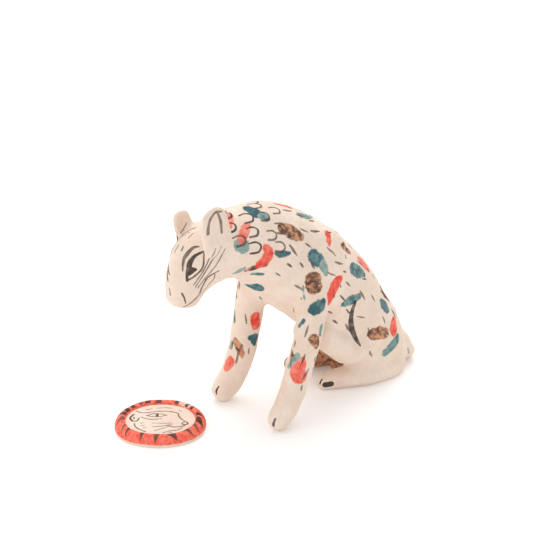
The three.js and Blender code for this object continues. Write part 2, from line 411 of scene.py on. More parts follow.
def worked(piece):
    """Applies a piece's modifiers, so that its mesh is the finished one."""
    bpy.context.view_layer.update()
    mesh = bpy.data.meshes.new_from_object(piece.evaluated_get(bpy.context.evaluated_depsgraph_get()))
    rough = piece.data
    piece.modifiers.clear()
    piece.data = mesh
    bpy.data.meshes.remove(rough)


def spots_and_headings(mesh):
    """The places in mm and the outward headings of a mesh's points."""
    spots = np.empty(len(mesh.vertices) * 3, np.float32)
    headings = np.empty(len(mesh.vertices) * 3, np.float32)
    mesh.vertices.foreach_get("co", spots)
    mesh.vertices.foreach_get("normal", headings)
    return spots.reshape(-1, 3) / MM, headings.reshape(-1, 3)


def kneading(points, seed, waves, shortest, longest, height):
    """The unevenness of hand-worked clay: many slow waves in many directions, in mm."""
    draw = np.random.default_rng(seed)
    heading = draw.normal(size=(waves, 3))
    heading /= np.linalg.norm(heading, axis=1)[:, None]
    heading *= 2 * np.pi / draw.uniform(shortest, longest, (waves, 1))
    phase = draw.uniform(0, 2 * np.pi, waves)
    total = np.zeros(len(points))
    for k in range(waves):
        total += np.sin(points @ heading[k] + phase[k])
    return height * total / math.sqrt(waves)


def knead(piece, seed, height):
    """Moves a piece's points in and out, except where it lies flat on the table."""
    waves, palm_marks, finger_tips, still_below = 24, (9, 26), (2.5, 6), 3
    spots, headings = spots_and_headings(piece.data)
    move = kneading(spots, seed, waves, *palm_marks, height)
    move += kneading(spots, seed + 1, waves, *finger_tips, height / 5)
    move *= np.clip((spots[:, 2] - seat[2]) / still_below, 0, 1)
    spots += headings * move[:, None]
    spots[:, 2] = np.maximum(spots[:, 2], seat[2])
    piece.data.vertices.foreach_set("co", (spots * MM).astype(np.float32).ravel())
    piece.data.update()


body = clay_mesh("luted_clay", *skin(whole))
smoothing = body.modifiers.new("smoothing", "SUBSURF")
smoothing.levels = 1
worked(body)
knead(body, 11, 0.22)
body_skin = BVHTree.FromObject(body, bpy.context.evaluated_depsgraph_get())

# ---- the thirteen pieces --------------------------------------------------------------------------
# The luted cat is parted again along its joins: each limb where it is the nearest lump, and the trunk
# across its spine where rump, chest, neck and head were luted. Every piece is closed clay.
SEAM_RUMP_CHEST, SEAM_CHEST_NECK, SEAM_NECK_HEAD = 0.4, 0.57, 0.68
limb_depth = 5
pieces = {}


def part_off(source, cutter, operation):
    """Cuts source with cutter, and leaves in it what the operation keeps."""
    before = len(source.data.vertices)
    for solver in ("MANIFOLD", "EXACT"):
        cut = source.modifiers.new("cut", "BOOLEAN")
        cut.solver = solver
        cut.operation = operation
        cut.object = cutter
        worked(source)
        if len(source.data.vertices) not in (0, before):
            break


def copy_of(piece, name):
    """A second object with a mesh of its own, the same as the piece's."""
    twin = bpy.data.objects.new(name, piece.data.copy())
    bpy.context.scene.collection.objects.link(twin)
    return twin


def parted(name, cutter):
    """Takes one piece out of the body with a cutter, and throws the cutter away."""
    piece = copy_of(body, "clay_" + name)
    part_off(piece, cutter, "INTERSECT")
    part_off(body, cutter, "DIFFERENCE")
    bpy.data.objects.remove(cutter)
    pieces[name] = piece


for name in fillets:
    others = np.full(grid_size, FAR, np.float32)
    for other, depth in clay.items():
        if other != name:
            np.minimum(others, depth, out=others)
    mine = np.maximum(clay[name] - others, clay[name] - limb_depth)
    for axis in range(3):
        edge = np.moveaxis(mine, axis, 0)
        edge[0] = edge[-1] = 1
    parted(name, clay_mesh("cutter", *skin(mine)))

spine_steps = 200
cutting_block = 0.4
spine, _ = smooth_row(np.array(trunk_stations, float) + [*seat, 0, 0], spine_steps)
seams = {"head_shell": SEAM_NECK_HEAD, "neck_sleeve": SEAM_CHEST_NECK, "chest_shell": SEAM_RUMP_CHEST}
for name, seam in seams.items():
    at = int(seam * (spine_steps - 1))
    heading = Vector(spine[at + 1, :3] - spine[at, :3]).normalized()
    middle = Vector(spine[at, :3]) * MM + heading * cutting_block / 2
    bpy.ops.mesh.primitive_cube_add(size=cutting_block, location=middle)
    cutter = bpy.context.object
    cutter.rotation_euler = heading.to_track_quat("Z", "Y").to_euler()
    parted(name, cutter)
pieces["rump_shell"] = body
body.name = "clay_rump_shell"

seam_edge = math.radians(50)
for name, piece in pieces.items():
    piece.data.name = piece.name
    piece.data.shade_smooth()
    piece.data.set_sharp_from_angle(angle=seam_edge)
    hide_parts(name)
    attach(piece, "figure")

# ---- brushwork ------------------------------------------------------------------------------------
# Underglaze brushed on bare clay before it was fired: coral, teal and umber dabs, and dark fine lines; one
# wide umber smear under the belly is painted shade.
# A stroke is its colour, how loaded the brush was (0 to 1), and its points: x, y, z, half width in mm.
strokes = [
    # neck and shoulders
    ("coral", 0.4, (3.5, -107, 132, 1.4), (7, -109, 130.5, 1.9), (10, -111.5, 128, 1.2)),
    ("coral", 0.35, (12.5, -101, 127.5, 1.6), (14, -104, 125.5, 2.6), (16, -108.5, 121.5, 2.2)),
    ("coral", 0.65, (20, -94, 114.5, 1.6), (20.5, -92, 111, 2.8), (20, -94, 106.5, 3), (18.5, -98, 104, 2)),
    ("coral", 0.7, (2, -71.5, 130, 1.2), (5, -62, 126.5, 1.2)),
    ("coral", 0.6, (19.5, -46.5, 110.5, 2), (22, -48, 108, 1.8), (24.5, -49.5, 105, 0.6)),
    ("teal", 1, (4, -94, 132.5, 2.6), (8.5, -92, 131, 3.3)),
    ("teal", 0.39, (8.5, -92, 131, 2.6), (12.5, -88, 128.5, 2.6)),
    ("teal", 0.33, (16.5, -110, 118.5, 3.4), (17.5, -108, 117.5, 3.6)),
    ("teal", 0.95, (17, -110, 119, 1.4), (17.5, -108.5, 117.5, 1.6)),
    ("teal", 0.33, (16, -106, 103, 1.08), (14.5, -109, 101.5, 1.44), (13.5, -111.5, 100.5, 0.72)),
    ("teal", 0.7, (15, -99.5, 97.5, 1.28), (17, -94, 96.5, 0.96)),
    ("teal", 0.89, (21.5, -87.5, 109.5, 0.96), (22, -84, 108, 1.92), (22.5, -78.5, 107.5, 0.88)),
    ("teal", 0.46, (10.5, -60.5, 122.5, 2), (9.5, -55, 120, 2.2), (8, -50, 118, 1.4)),
    ("teal", 0.77, (24.5, -62, 102, 3.6), (26, -60, 99.5, 4)),
    ("teal", 0.33, (26.5, -58, 98, 2.6), (28, -57, 94.5, 2.2), (29, -56, 90.5, 1.2)),
    ("umber", 0.72, (19.5, -93.5, 103.5, 1.3), (18, -98, 103, 1.7), (17, -101.5, 102, 1.6),
     (15.5, -104.5, 101, 0.7)),
    ("umber", 0.54, (17.5, -80, 121.5, 2.8), (19, -74, 118, 4), (20.5, -68, 114.5, 2.4)),
    # back and haunch, and painted shade under the belly
    ("coral", 0.75, (27.5, -42.5, 82.5, 2.6), (29.5, -48, 81.5, 4.68), (30.5, -51.5, 78, 4.42),
     (31, -54, 72, 1.69)),
    ("coral", 0.4, (16, -17, 85.5, 1.68), (16, -12.5, 80.5, 3.12), (16, -9, 76.5, 2.16)),
    ("coral", 0.6, (27, 5.5, 42.5, 1.3), (28, 5, 38.5, 3.9), (28, 4.5, 35.5, 3.9)),
    ("teal", 0.64, (21.5, -27.5, 83.5, 3.4), (21, -22.5, 80, 3.6), (20, -18, 77, 2.2)),
    ("teal", 1, (21.5, -28.5, 83.5, 1.9), (21.5, -27.5, 82.5, 1.9)),
    ("teal", 0.7, (22, -2, 55, 1.8), (23.5, -1, 52.5, 3.2), (25, 0, 49.5, 2)),
    ("teal", 0.64, (25, -38, 64, 1.2), (25.5, -32, 65, 2.8), (25, -25, 65.5, 1.8)),
    ("teal", 0.58, (28.5, -3.5, 23, 2.75), (28, 2.5, 25, 3.77), (27, 8, 27.5, 3.48)),
    ("teal", 0.21, (18, 26, 12.5, 0.5), (18, 27.5, 8.5, 0.5)),
    ("umber", 0.72, (22.5, -39, 101.5, 1.6), (19.5, -31.5, 97.5, 2.8), (17, -26, 93, 1.8)),
    ("umber", 0.72, (15, 1.5, 60, 1.6), (16.5, 4, 56.5, 2.8), (18, 6, 52.5, 1.8)),
    ("umber", 0.49, (26.5, -14, 38, 3.3), (27.5, -9.5, 37.5, 3.8), (28.5, -5.5, 36.5, 3.3)),
    # painted shade: a wide, thin umber smear down the scooped underside of the belly, darkening the recess
    # between the thighs where shade falls
    ("umber", 0.3, (-3, -36, 28, 9), (-3, -26, 16, 11), (-5, -20, 4, 10)),
    # left foreleg
    ("umber", 0.72, (27, -64, 88.5, 4.3), (27.5, -64, 84.5, 4.5)),
    ("umber", 0.19, (27, -65, 80.5, 0.8), (28.5, -62.5, 81, 0.9)),
    ("umber", 0.59, (31, -69.5, 53.5, 1.2), (32.5, -67.5, 53, 3), (33, -66.5, 49.5, 2)),
    ("umber", 0.72, (23.5, -76, 45, 0.9), (26, -77.5, 41.5, 1.9)),
    ("teal", 0.89, (29, -65, 70.5, 3.2), (30, -62.5, 72, 3.6), (31, -59.5, 74.5, 1.8)),
    ("teal", 0.7, (24, -71, 59.5, 1), (26, -69.5, 64, 1)),
    ("teal", 0.58, (32.5, -61.5, 60, 1.26), (32.5, -63, 55, 1.12)),
    ("teal", 0.21, (28.5, -76.5, 43.5, 2), (25.5, -79.5, 37, 1.6)),
    ("teal", 0.58, (24, -69, 85, 0.4), (24, -68, 76, 0.35)),
    ("coral", 0.5, (31.5, -75, 43, 0.8), (31.5, -77, 39, 2.8), (31, -78.5, 35.5, 4.4), (32, -79, 33, 4.4)),
    # right foreleg
    ("coral", 0.8, (-9.5, -77, 55.5, 3), (-10, -76, 49.5, 3)),
    ("coral", 0.5, (-19, -91, 26.5, 3), (-20, -92, 23, 2.8)),
    ("teal", 1, (-11, -80, 42, 1.5), (-10.5, -76.5, 40, 3), (-10.5, -76, 36.5, 1.4)),
    ("teal", 0.46, (-21, -83, 56.5, 1), (-20, -84, 51, 1)),
    ("teal", 0.33, (-21, -87, 37.5, 1), (-22, -88, 34, 0.9)),
    ("teal", 0.83, (5, -92.5, 83.5, 4), (8.5, -91.5, 84.5, 4.4)),
    ("umber", 0.39, (-17.5, -86.5, 39.5, 2), (-15.5, -86, 37, 2.4), (-13.5, -85.5, 33, 2),
     (-13, -85, 30, 0.8)),
    ("umber", 0.39, (-18, -78, 76, 0.8), (-20.5, -80.5, 70, 0.9), (-21, -81.5, 65, 0.7)),
    # claws
    ("ink", 1.0, (10, -37.5, 4.5, 1.3), (12, -34.5, 5, 1.3)),
    ("ink", 0.9, (7.5, -39, 4.5, 0.5), (8, -38, 7, 0.5)),
    ("ink", 0.8, (-26, -40, 4.5, 0.5), (-27, -37, 8.5, 0.5)),
    ("ink", 0.6, (31, -96, 10, 0.5), (30.5, -97.5, 5.5, 0.7)),
    ("ink", 0.8, (-19.5, -98.5, 12, 0.4), (-19.5, -100.5, 9, 0.5), (-19, -101, 7, 0.3)),
    # the long sweep down the left haunch
    ("ink", 0.7, (25.5, -28, 63, 0.9), (24.5, -30, 57, 1.2), (23, -28.5, 46.5, 1.35),
     (22, -24.5, 37, 1.2), (22.5, -22, 31, 0.4)),
    # brow, eye and whiskers of the left side
    ("ink", 0.5, (3, -139.5, 107, 0.3), (2.5, -138.5, 111.5, 0.6), (3, -136, 116, 0.95),
     (4.5, -132.5, 119.5, 0.6), (6.5, -130.5, 120, 0.3)),
    ("ink", 0.9, (5.5, -138.5, 101.5, 0.7), (5.5, -138.5, 106.5, 0.6), (5.5, -136, 113.5, 0.5),
     (7.5, -132, 116.5, 0.45), (9.5, -129, 118, 0.3)),
    ("ink", 0.6, (5.5, -138.5, 101.5, 0.45), (8.5, -135, 104.5, 0.4), (10.5, -131.5, 109, 0.4),
     (10, -130, 115.5, 0.35), (9.5, -129.5, 117.5, 0.3)),
    ("ink", 1.0, (6, -137.5, 105.5, 0.9), (7, -136.5, 107.5, 1.4), (8.5, -134.5, 108, 0.5)),
    ("ink", 0.9, (6, -137.5, 107, 1.1), (5.5, -136.5, 111, 1.2), (6.5, -134, 115, 0.8),
     (9, -130, 117.5, 0.3)),
    ("ink", 0.3, (15, -127, 121.5, 0.25), (11.5, -129.5, 110.5, 0.3), (8.5, -134, 101.5, 0.3),
     (7, -135.5, 98.5, 0.25)),
    ("ink", 0.3, (16, -122.5, 121.5, 0.25), (12.5, -127, 112, 0.3), (10.5, -131, 104.5, 0.3),
     (7.5, -134.5, 97, 0.25)),
    ("ink", 0.3, (15.5, -119, 118.5, 0.25), (13.5, -125, 109, 0.3), (11, -129.5, 102.5, 0.3),
     (8, -133, 96, 0.25)),
    ("ink", 0.6, (14, -122.5, 105.5, 0.35), (11.5, -128, 102.5, 0.4), (8.5, -130, 96.5, 0.4),
     (5.5, -131, 89.5, 0.4), (3.5, -135, 86.5, 0.35), (0, -137.5, 85.5, 0.3)),
    ("ink", 0.3, (13, -125, 104.5, 0.25), (12, -124, 102, 0.3), (11, -124.5, 99, 0.3),
     (9, -126.5, 95.5, 0.25)),
    ("ink", 0.1, (5, -129.5, 89, 0.2), (6.5, -128, 91.5, 0.25), (8.5, -126, 95, 0.2)),
    ("ink", 0.7, (2.5, -140, 93.5, 0.35), (3, -140, 92.5, 0.45), (3, -139, 90.5, 0.4), (2, -137.5, 87, 0.3)),
    ("ink", 0.8, (-9, -140.5, 107.5, 0.4), (-7, -142, 105.5, 0.5), (-4.5, -142.5, 103, 0.4)),
    ("ink", 0.9, (-7.5, -142, 104, 0.4), (-6.5, -142.5, 101.5, 0.5), (-5.5, -143, 99, 0.4)),
    ("ink", 0.6, (-4.5, -143.5, 95, 0.35), (-4, -143.5, 91, 0.35)),
    # forehead
    ("ink", 0.2, (-10, -132, 120, 0.4), (-9.5, -128, 123, 0.45), (-6, -126.5, 125.5, 0.45),
     (-3.5, -125, 127, 0.3)),
    ("ink", 0.2, (-13.5, -128.5, 121.5, 0.25), (-12, -127.5, 124, 0.3), (-11.5, -125, 127, 0.3)),
    ("ink", 0.3, (-8, -131.5, 121.5, 0.25), (-5, -128.5, 124.5, 0.3)),
    ("ink", 0.3, (-2, -131.5, 123, 0.3), (-1.5, -128.5, 125, 0.3)),
    ("ink", 0.3, (-5.5, -138.5, 114.5, 0.25), (-5.5, -135.5, 118.5, 0.3)),
    ("ink", 0.4, (-1, -137, 117, 0.4), (-1.5, -135.5, 119, 0.4)),
    # ear outlines
    ("ink", 0.3, (15, -132, 130, 0.9), (16, -132, 135, 0.7), (16.5, -130.5, 139.5, 0.55),
     (17, -127, 142.5, 0.5), (17, -123, 142, 0.4)),
    ("ink", 0.25, (17, -126, 142, 0.5), (17.5, -123.5, 136.5, 0.7), (17.5, -122.5, 129.5, 0.6)),
]

# The right side, which the maker brushed in the same way: the same dabs from the mirror, each moved,
# reloaded and recoloured a little by a steady draw, and only where the clay faces well to the right.
draw = np.random.default_rng(5)
swap = {
    "coral": ("coral", "teal"),
    "teal": ("teal", "umber"),
    "umber": ("umber", "coral"),
    "ink": ("ink", "ink"),
}
well_right = -0.72
for colour, load, *points in list(strokes):
    side_dab = np.mean([p[0] for p in points]) > 12 and np.mean([p[1] for p in points]) > -112
    move = draw.normal(0, 2.2, 3)
    pick = swap[colour][int(draw.random() < 0.35)]
    shade = float(np.clip(load + draw.normal(0, 0.15), 0, 1))
    if not side_dab:
        continue
    middle = np.mean([p[:3] for p in points], axis=0) * (-1, 1, 1) + move + seat
    _, heading, _, _ = body_skin.find_nearest(Vector(middle) * MM)
    if heading.x < well_right:
        moved = [(-p[0] + move[0], p[1] + move[1], p[2] + move[2], p[3]) for p in points]
        strokes.append((pick, shade, *moved))


# The right eye, brow, whiskers and mouth are the left ones mirrored across the middle of the head.
head_middle = -4.5
for colour, load, *points in list(strokes):
    x, y, z = np.mean([p[:3] for p in points], axis=0)
    if colour == "ink" and x > 3 and y < -120 and z < 121:
        strokes.append((colour, load, *[(2 * head_middle - p[0], *p[1:]) for p in points]))


coat_steps = 120


def on_coat(stations, share, turn):
    """A place on a lump of clay, a share of the way along it and turned round from its back towards its
    left in degrees, with the way the fur lies there and the way round."""
    row, _ = smooth_row(np.array(stations, float) + np.array([*seat, 0, 0]), coat_steps)
    at = int(share * (len(row) - 1))
    along = row[min(at + 1, len(row) - 1), :3] - row[at - 1, :3]
    along /= np.linalg.norm(along)
    wide = np.array([1.0, 0, 0]) - along[0] * along
    wide /= np.linalg.norm(wide)
    deep = np.cross(along, wide)
    angle = math.radians(turn)
    spot = row[at, :3] + row[at, 3] * math.sin(angle) * wide + row[at, 4] * math.cos(angle) * deep
    return spot - seat, -along, math.cos(angle) * wide - math.sin(angle) * deep


# Scallops of fur down both sides of the neck: staggered rows of loops, each open towards the head.
draw = np.random.default_rng(9)
loop_shape = [(-4.2, -3, 0.35), (0.5, -3.4, 0.4), (3.8, -1, 0.45), (2.6, 2.4, 0.55), (-3, 3, 0.5)]
for side in (1, -1):
    for rank in range(4):
        for place in range(3):
            share = 0.795 - 0.034 * rank + draw.normal(0, 0.004)
            turn = side * (10 + 29 * place + 14 * (rank % 2) + draw.normal(0, 3))
            spot, back, round_way = on_coat(trunk_stations, share, turn)
            size = draw.uniform(0.8, 1.0)
            load = draw.uniform(0.35, 0.75)
            points = [(*(spot + size * (b * back + a * side * round_way)), half) for b, a, half in loop_shape]
            strokes.append(("ink", load, *points))

# Short hairs, brushed on singly the way the fur lies and never close together: the lump they are on,
# from and to what share of it, how far round it in degrees, and how many are tried.
hair_zones = [
    (trunk_stations, 0.32, 0.67, 130, 420),
    (trunk_stations, 0.14, 0.32, 120, 40),
    (left_foreleg, 0.3, 0.78, 110, 24),
    (right_foreleg, 0.3, 0.78, 110, 12),
]
hair_gap = 7.5
placed = []
for stations, first, last, widest, tries in hair_zones:
    for _ in range(tries):
        share, turn = draw.uniform(first, last), draw.uniform(-widest, widest)
        length, lean, half = draw.uniform(3, 7.5), draw.normal(0, 0.22), draw.uniform(0.35, 0.62)
        load = draw.uniform(0.15, 0.65)
        spot, back, round_way = on_coat(stations, share, turn)
        if any(np.linalg.norm(spot - other) < hair_gap for other in placed):
            continue
        placed.append(spot)
        way = (back + lean * round_way) * length / 2
        points = (*(spot - way), half * 0.7), (*spot, half * 1.1), (*(spot + way), half * 0.4)
        strokes.append(("ink", load, *points))


def laid_on(surface, points):
    """A stroke's path on a surface, its half widths along it, and the way that the clay faces."""
    points = np.array(points, float)
    longest = int(np.ptp(points[:, :3], axis=0).max())
    row, _ = smooth_row(points, 3 + 2 * longest)
    found = [surface.find_nearest(Vector(p[:3] * MM)) for p in row]
    path = np.array([f[0] for f in found]) / MM
    facing = np.array([f[1] for f in found])
    return path, np.maximum(row[:, 3], 0.1), facing


def brush_on(piece, laid, brushes):
    """Keeps, on a piece's points, how far each colour's edge is in mm, its load, and its streaks."""
    spots, headings = spots_and_headings(piece.data)
    kept = {c: np.tile(np.array([FAR, 0, 0], np.float32), (len(spots), 1)) for c in brushes}
    for number, (colour, load, path, halves, facing) in enumerate(laid):
        reach = halves.max() + 1.5
        close = np.all((spots > path.min(0) - reach) & (spots < path.max(0) + reach), axis=1)
        close &= headings @ facing.mean(0) > 0
        at = np.nonzero(close)[0]
        if len(at) == 0:
            continue
        start, run = path[:-1], np.diff(path, axis=0)
        square = np.maximum((run**2).sum(1), 1e-6)
        away = spots[at][:, None] - start
        share = np.clip((away * run).sum(2) / square, 0, 1)
        gap = away - share[:, :, None] * run
        edge = np.linalg.norm(gap, axis=2) - halves[:-1] - share * np.diff(halves)
        best = edge.argmin(1)
        pick = np.arange(len(at))
        across = (gap[pick, best] * np.cross(run[best], facing[best])).sum(1) / np.sqrt(square[best])
        along = (best + share[pick, best]) * math.sqrt(square.mean())
        streak = np.sin(across * 5.1 + number) + np.sin(across * 8.7 + along * 0.4 + 2 * number)
        streak += np.sin(along * 0.9 + number * 1.7)
        edge = edge[pick, best]
        better = edge < kept[colour][at, 0]
        kept[colour][at[better]] = np.stack([edge, np.full(len(at), load), streak / 3], axis=1)[better]
    for colour, values in kept.items():
        layer = piece.data.attributes.new(colour, "FLOAT_VECTOR", "POINT")
        layer.data.foreach_set("vector", values.ravel())


# Each stroke soaks out a little wider than the brush: the dabs by the first, the fine lines by the second.
soak = (1.12, 1.3)
laid = []
for colour, load, *points in strokes:
    points = [(p[0] + seat[0], p[1] + seat[1], p[2] + seat[2], p[3] * soak[colour == "ink"]) for p in points]
    laid.append((colour, load, *laid_on(body_skin, points)))
cat_brushes = ("umber", "teal", "coral", "ink")
for piece in pieces.values():
    brush_on(piece, laid, cat_brushes)


# ---- fired clay -----------------------------------------------------------------------------------
# Pale unglazed earthenware, dry and a little pitted, with soft warm blotches and a few dark specks.
# The colours soak into it: thin ones show the clay through, loaded ones streak and pool at the edge.
def shade_node(tree, kind, links=None, **settings):
    """A shader node with its settings, each input joined to a socket or set to a value."""
    made = tree.nodes.new("ShaderNode" + kind)
    for name, value in settings.items():
        setattr(made, name, value)
    for name, value in (links or {}).items():
        if isinstance(value, bpy.types.NodeSocket):
            tree.links.new(value, made.inputs[name])
        else:
            made.inputs[name].default_value = value
    return made


def sums(tree, operation, a, b):
    """One step of arithmetic between two values."""
    return shade_node(tree, "Math", {0: a, 1: b}, operation=operation).outputs[0]


def grain(tree, scale, detail=2.0):
    """Cloudy noise fixed to the piece, finer for a larger scale."""
    place = shade_node(tree, "TexCoord").outputs["Object"]
    links = {"Vector": place, "Scale": scale, "Detail": detail}
    return shade_node(tree, "TexNoise", links).outputs["Fac"]


def ramp(tree, value, low, high, bottom=0.0, top=1.0):
    """A value eased from bottom to top as it goes from low to high."""
    links = {"Value": value, "From Min": low, "From Max": high, "To Min": bottom, "To Max": top}
    return shade_node(tree, "MapRange", links, interpolation_type="SMOOTHSTEP").outputs["Result"]


def blended(tree, factor, a, b):
    """A colour that goes from a to b with the factor."""
    made = shade_node(tree, "Mix", {0: factor}, data_type="RGBA")
    for socket, value in ((made.inputs[6], a), (made.inputs[7], b)):
        if isinstance(value, bpy.types.NodeSocket):
            tree.links.new(value, socket)
        else:
            socket.default_value = (*value, 1)
    return made.outputs[2]


# Each colour's hue where it is thin and where it is thick, and the least and most that it covers.
colours = {
    "umber": ((0.58, 0.25, 0.11), (0.075, 0.035, 0.03), 0.85, 0.97),
    "teal": ((0.16, 0.34, 0.32), (0.015, 0.095, 0.12), 0.72, 0.97),
    "coral": ((0.93, 0.19, 0.125), (0.70, 0.032, 0.02), 0.7, 0.98),
    "ink": ((0.17, 0.12, 0.095), (0.035, 0.026, 0.024), 0.78, 0.96),
    "bare": ((0.88, 0.58, 0.47), (0.82, 0.66, 0.56), 0.75, 0.9),
}


def bare_clay(tree):
    """The colour of the clay with nothing brushed on it."""
    blotch = ramp(tree, grain(tree, 55, 3.0), 0.35, 0.68)
    fine = ramp(tree, grain(tree, 420, 4.0), 0.3, 0.72)
    tone = blended(tree, blotch, (0.79, 0.635, 0.52), (0.85, 0.71, 0.60))
    tone = blended(tree, sums(tree, "MULTIPLY", fine, 0.3), tone, (0.72, 0.56, 0.46))
    speck = ramp(tree, grain(tree, 1500, 1.0), 0.7, 0.78)
    return blended(tree, sums(tree, "MULTIPLY", speck, 0.5), tone, (0.36, 0.25, 0.19))


def brushed(tree, ground, colour):
    """One colour brushed over a ground, by the stroke edges kept on the mesh."""
    thin, thick, least, most = colours[colour]
    fine_line = colour == "ink"
    stroke = shade_node(tree, "Attribute", attribute_name=colour, attribute_type="GEOMETRY")
    edge, load, streak = shade_node(tree, "SeparateXYZ", {0: stroke.outputs["Vector"]}).outputs
    wobble = sums(tree, "SUBTRACT", grain(tree, 380, 4.0), 0.5)
    wobble = sums(tree, "MULTIPLY", wobble, 0.5 if fine_line else 2.4)
    soft = 0.16 if fine_line else 0.5
    inside = ramp(tree, sums(tree, "ADD", edge, wobble), soft, -soft)
    mottle = sums(tree, "SUBTRACT", grain(tree, 330, 4.0), 0.5)
    mottle = sums(tree, "MULTIPLY", mottle, 3.4 if colour == "umber" else 1.2)
    body_of = sums(tree, "ADD", load, sums(tree, "MULTIPLY", streak, 0.3))
    body_of = sums(tree, "ADD", body_of, mottle)
    strength = ramp(tree, body_of, 0.0, 0.9, least, most)
    hue = blended(tree, ramp(tree, body_of, 0.0, 1.15), thin, thick)
    return blended(tree, sums(tree, "MULTIPLY", inside, strength), ground, hue)


def clay_finish(name, brushes, ground_of=bare_clay):
    """Fired clay with its colours brushed over the ground, one over the next."""
    made = bpy.data.materials.new(name)
    made.use_nodes = True
    tree = made.node_tree
    surface = tree.nodes["Principled BSDF"]
    tone = ground_of(tree)
    for colour in brushes:
        tone = brushed(tree, tone, colour)
    tree.links.new(tone, surface.inputs["Base Color"])
    tree.links.new(ramp(tree, grain(tree, 300, 3.0), 0.3, 0.7, 0.82, 0.96), surface.inputs["Roughness"])
    surface.inputs["Specular IOR Level"].default_value = 0.25
    pits = ramp(tree, grain(tree, 900, 2.0), 0.3, 0.42)
    rough = sums(tree, "MULTIPLY", grain(tree, 500, 5.0), 0.8)
    height = sums(tree, "ADD", rough, sums(tree, "MULTIPLY", pits, 0.2))
    bump = shade_node(tree, "Bump", {"Height": height, "Strength": 0.8, "Distance": 0.0005})
    tree.links.new(bump.outputs["Normal"], surface.inputs["Normal"])
    return made


painted_clay = clay_finish("painted_clay", cat_brushes)
for piece in pieces.values():
    piece.data.materials.clear()
    piece.data.materials.append(painted_clay)

# ---- dish -----------------------------------------------------------------------------------------
# A separate small dish in front of the cat: a rolled slab with a coil pressed round its edge. The coil
# is brushed coral with dark wedges, and the slab carries a cat's face in fine line, as a reflection.
dish_at = np.array([m["pos_m"] for m in frame["record"]["mounts"] if m["name"] == "dish_base"][0]) / MM
dish_turn, dish_oval = 0.87, 0.91
rim_low, rim_high = (np.array(c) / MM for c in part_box("dish_rim"))
slab_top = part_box("dish_slab")[1][2] / MM
rim_height = rim_high[2] - rim_low[2]
rim_out, rim_wide = 27.9, 7.7
long_way = np.array([math.cos(dish_turn), math.sin(dish_turn), 0])
short_way = np.array([-math.sin(dish_turn), math.cos(dish_turn), 0])


def on_dish(u, v, z):
    """A place in mm from u along the dish's long axis and v across it."""
    u, v, z = np.broadcast_arrays(u, v, z)
    return dish_at + u[..., None] * long_way + v[..., None] * short_way + z[..., None] * np.array([0, 0, 1.0])


def ring_mesh(name, rings, closed_inside):
    """A mesh from rings of places, one inside the next, capped at the first and last ring if asked."""
    count, around = rings.shape[:2]
    index = np.arange(count * around).reshape(count, around)
    turned = np.roll(index, -1, axis=1)
    if not closed_inside:
        index = np.vstack([index, index[:1]])
        turned = np.vstack([turned, turned[:1]])
    faces = np.stack([index[:-1], turned[:-1], turned[1:], index[1:]], axis=-1).reshape(-1, 4)
    piece = clay_mesh(name, rings.reshape(-1, 3), faces)
    if closed_inside:
        open_mesh = piece.data
        corners = [list(range(around - 1, -1, -1)), list(range((count - 1) * around, count * around))]
        joined = bpy.data.meshes.new(name)
        places = [v.co[:] for v in open_mesh.vertices]
        joined.from_pydata(places, [], [list(p.vertices) for p in open_mesh.polygons] + corners)
        piece.data = joined
        bpy.data.meshes.remove(open_mesh)
    return piece


turns = np.linspace(0, 2 * math.pi, 480, endpoint=False)
slab_radius = rim_out - rim_wide + 0.4
radii = np.linspace(0.15, slab_radius, 96)
foot_u, foot_v = radii[-1] * np.cos(turns), dish_oval * radii[-1] * np.sin(turns)
slab_rings = [on_dish(foot_u, foot_v, np.full_like(turns, 0.0))]
for radius in radii[::-1]:
    u, v = radius * np.cos(turns), dish_oval * radius * np.sin(turns)
    sag = 0.18 * np.sin(u / 6 + 1) * np.cos(v / 7) + 0.1 * np.sin(u / 2.3) * np.sin(v / 2.9 + 1)
    slab_rings.append(on_dish(u, v, slab_top - 0.15 + sag))
slab = ring_mesh("clay_dish_slab", np.array(slab_rings), True)

draw = np.random.default_rng(21)
phases = draw.uniform(0, 2 * math.pi, 6)
pinch = sum(np.sin(k * turns + phases[k - 2]) / k for k in range(2, 8)) * 0.35
# The coil's section, out from its inner edge and up from the table: steep inside, sloping outside.
coil = [
    (0, 0), (0, 1.8), (0.1, 3.8), (0.5, 5.6), (1.4, 6.7), (2.6, 7),
    (4, 6.5), (5.3, 5.3), (6.3, 3.8), (6.9, 2.2), (7, 1), (6.7, 0),
]
section, _ = smooth_row(np.array([(out, 0, up) for out, up in coil], float), 64)
rim_rings = []
for out, _, up in section:
    radius = rim_out - rim_wide + 0.4 + out * (1 + 0.14 * pinch) + pinch * 0.7
    height = up / 7 * rim_height * (0.96 + 0.03 * np.sin(3 * turns + 1) + 0.02 * np.sin(7 * turns))
    rim_rings.append(on_dish(radius * np.cos(turns), dish_oval * radius * np.sin(turns), height))
rim = ring_mesh("clay_dish_rim", np.array(rim_rings), False)

